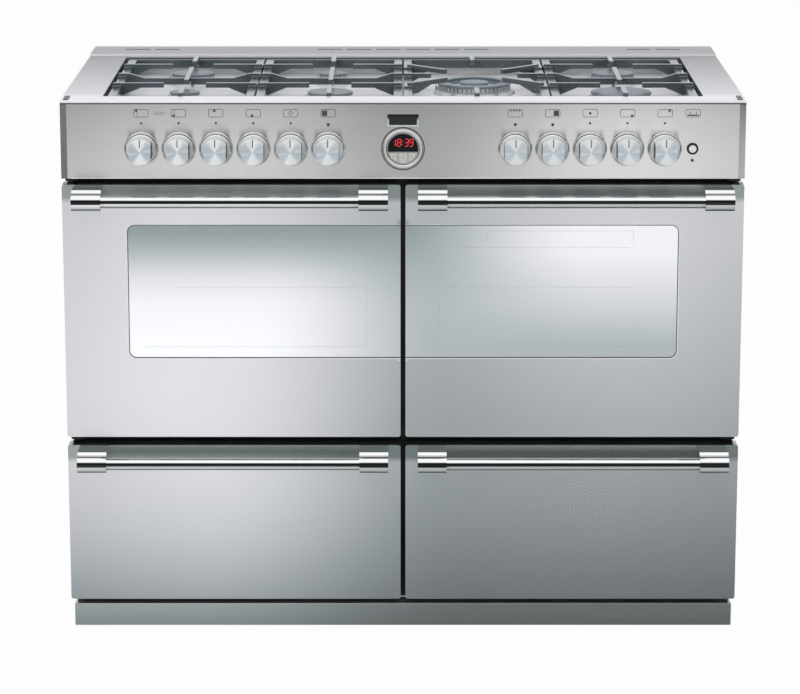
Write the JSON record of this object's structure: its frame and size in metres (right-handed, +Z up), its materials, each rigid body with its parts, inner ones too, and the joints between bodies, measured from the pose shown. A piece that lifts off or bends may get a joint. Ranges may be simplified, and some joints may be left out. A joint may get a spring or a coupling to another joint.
{
  "type": "dual fuel range cooker",
  "caption": "Free-standing range cooker: gas hob with cast iron supports over two electric ovens with side-hung glazed doors, and storage drawers below.",
  "frame": {"origin": "middle of the footprint at floor level, handles included", "axes": "+Z up, the fronts face -Y, +X to the right of someone who stands in front of it"},
  "size_m": [1.1, 0.658, 0.905],
  "materials": {
    "carcass_steel": "satin grey paint",
    "galvanised": "bare zinc-coated sheet",
    "black_steel": "satin black paint",
    "enamel": "dark oven enamel",
    "wire_chrome": "bright wire",
    "element_steel": "heat-dulled steel sheath",
    "fan_steel": "plain steel",
    "seal_rubber": "matt",
    "hob_steel": "brushed left to right",
    "burner_alloy": "cast and machined",
    "cap_enamel": "satin blue-grey enamel",
    "brass": "machined",
    "fascia_steel": "brushed left to right",
    "end_cap": "satin grey-green",
    "bright_chrome": "polished",
    "module_plastic": "satin silver",
    "lens_plastic": "dark tinted",
    "plinth_steel": "brushed left to right",
    "foot_plastic": "moulded",
    "button_plastic": "gloss",
    "cast_iron": "satin enamelled casting",
    "front_steel": "brushed left to right",
    "oven_glass": "mirrored tint",
    "handle_chrome": "polished",
    "knob_metal": "turned and satin-plated",
    "clock_button": "silver"
  },
  "bodies": {
    "carcass": {"side_panels": "carcass_steel", "back_panel": "galvanised", "base_tray": "galvanised", "front_frame": "black_steel", "oven_left": "enamel", "oven_right": "enamel", "oven_racks": "wire_chrome", "grill_element": "element_steel", "fan_housing": "fan_steel", "door_seals": "seal_rubber", "hob_top": "hob_steel", "vent_trim": "hob_steel", "burner_bases": "burner_alloy", "burner_crowns": "burner_alloy", "burner_caps": "cap_enamel", "gas_rail": "brass", "gas_taps": "brass", "fascia": "fascia_steel", "fascia_end_caps": "end_cap", "control_bezels": "bright_chrome", "clock_module": "module_plastic", "lenses": "lens_plastic", "plinth": "plinth_steel", "levelling_feet": "foot_plastic", "drawer_runners": "galvanised", "door_pivots": "black_steel"},
    "fan": {"oven_fan": "fan_steel"},
    "support_1": {"pan_support_1": "cast_iron"},
    "support_2": {"pan_support_2": "cast_iron"},
    "support_3": {"pan_support_3": "cast_iron"},
    "support_4": {"pan_support_4": "cast_iron"},
    "door_left": {"door_panel_left": "front_steel", "door_glass_left": "oven_glass", "door_pan_left": "enamel", "door_handle_left": "handle_chrome"},
    "drawer_left": {"drawer_front_left": "front_steel", "drawer_box_left": "galvanised", "drawer_handle_left": "handle_chrome"},
    "door_right": {"door_panel_right": "front_steel", "door_glass_right": "oven_glass", "door_pan_right": "enamel", "door_handle_right": "handle_chrome"},
    "drawer_right": {"drawer_front_right": "front_steel", "drawer_box_right": "galvanised", "drawer_handle_right": "handle_chrome"},
    "control_1": {"knob_1": "knob_metal"},
    "control_2": {"knob_2": "knob_metal"},
    "control_3": {"knob_3": "knob_metal"},
    "control_4": {"knob_4": "knob_metal"},
    "control_5": {"knob_5": "knob_metal"},
    "control_6": {"knob_6": "knob_metal"},
    "control_7": {"knob_7": "knob_metal"},
    "control_8": {"knob_8": "knob_metal"},
    "control_9": {"knob_9": "knob_metal"},
    "control_10": {"knob_10": "knob_metal"},
    "control_11": {"knob_11": "knob_metal"},
    "igniter": {"ignition_button": "button_plastic"},
    "clock_key_1": {"clock_button_1": "clock_button"},
    "clock_key_2": {"clock_button_2": "clock_button"},
    "clock_key_3": {"clock_button_3": "clock_button"}
  },
  "joints": [
    {"name": "door_left_hinge", "type": "hinge", "parent": "carcass", "child": "door_left", "pos_m": [-0.536, -0.251, 0.553], "axis": [0, 0, -1], "range_deg": [0, 100]},
    {"name": "door_right_hinge", "type": "hinge", "parent": "carcass", "child": "door_right", "pos_m": [0.536, -0.251, 0.553], "axis": [0, 0, 1], "range_deg": [0, 100]},
    {"name": "drawer_left_slide", "type": "slide", "parent": "carcass", "child": "drawer_left", "axis": [0, -1, 0], "range_m": [0, 0.38]},
    {"name": "drawer_right_slide", "type": "slide", "parent": "carcass", "child": "drawer_right", "axis": [0, -1, 0], "range_m": [0, 0.38]},
    {"name": "knob_1_turn", "type": "hinge", "parent": "carcass", "child": "control_1", "pos_m": [-0.42, -0.271, 0.822], "axis": [0, -1, 0], "range_deg": [0, 210]},
    {"name": "knob_2_turn", "type": "hinge", "parent": "carcass", "child": "control_2", "pos_m": [-0.36, -0.271, 0.822], "axis": [0, -1, 0], "range_deg": [0, 210]},
    {"name": "knob_3_turn", "type": "hinge", "parent": "carcass", "child": "control_3", "pos_m": [-0.3, -0.271, 0.822], "axis": [0, -1, 0], "range_deg": [0, 210]},
    {"name": "knob_4_turn", "type": "hinge", "parent": "carcass", "child": "control_4", "pos_m": [-0.24, -0.271, 0.822], "axis": [0, -1, 0], "range_deg": [0, 210]},
    {"name": "knob_5_turn", "type": "hinge", "parent": "carcass", "child": "control_5", "pos_m": [-0.18, -0.271, 0.822], "axis": [0, -1, 0], "range_deg": [-270, 0]},
    {"name": "knob_6_turn", "type": "hinge", "parent": "carcass", "child": "control_6", "pos_m": [-0.12, -0.271, 0.822], "axis": [0, -1, 0], "range_deg": [-270, 0]},
    {"name": "knob_7_turn", "type": "hinge", "parent": "carcass", "child": "control_7", "pos_m": [0.18, -0.271, 0.822], "axis": [0, -1, 0], "range_deg": [-270, 0]},
    {"name": "knob_8_turn", "type": "hinge", "parent": "carcass", "child": "control_8", "pos_m": [0.24, -0.271, 0.822], "axis": [0, -1, 0], "range_deg": [-270, 0]},
    {"name": "knob_9_turn", "type": "hinge", "parent": "carcass", "child": "control_9", "pos_m": [0.3, -0.271, 0.822], "axis": [0, -1, 0], "range_deg": [0, 210]},
    {"name": "knob_10_turn", "type": "hinge", "parent": "carcass", "child": "control_10", "pos_m": [0.36, -0.271, 0.822], "axis": [0, -1, 0], "range_deg": [0, 210]},
    {"name": "knob_11_turn", "type": "hinge", "parent": "carcass", "child": "control_11", "pos_m": [0.42, -0.271, 0.822], "axis": [0, -1, 0], "range_deg": [0, 210]},
    {"name": "ignition_press", "type": "slide", "parent": "carcass", "child": "igniter", "axis": [0, 1, 0], "range_m": [0, 0.003], "stiffness_N_per_m": 600, "springref_m": -0.001},
    {"name": "clock_key_1_press", "type": "slide", "parent": "carcass", "child": "clock_key_1", "axis": [0, 1, 0], "range_m": [0, 0.0015], "stiffness_N_per_m": 400, "springref_m": -0.0005},
    {"name": "clock_key_2_press", "type": "slide", "parent": "carcass", "child": "clock_key_2", "axis": [0, 1, 0], "range_m": [0, 0.0015], "stiffness_N_per_m": 400, "springref_m": -0.0005},
    {"name": "clock_key_3_press", "type": "slide", "parent": "carcass", "child": "clock_key_3", "axis": [0, 1, 0], "range_m": [0, 0.0015], "stiffness_N_per_m": 400, "springref_m": -0.0005},
    {"name": "support_1_lift", "type": "slide", "parent": "carcass", "child": "support_1", "axis": [0, 0, 1], "range_m": [0, 0.12]},
    {"name": "support_2_lift", "type": "slide", "parent": "carcass", "child": "support_2", "axis": [0, 0, 1], "range_m": [0, 0.12]},
    {"name": "support_3_lift", "type": "slide", "parent": "carcass", "child": "support_3", "axis": [0, 0, 1], "range_m": [0, 0.12]},
    {"name": "support_4_lift", "type": "slide", "parent": "carcass", "child": "support_4", "axis": [0, 0, 1], "range_m": [0, 0.12]},
    {"name": "fan_spin", "type": "hinge", "parent": "carcass", "child": "fan", "pos_m": [0.277, 0.181, 0.545], "axis": [0, 1, 0], "continuous": true}
  ]
}
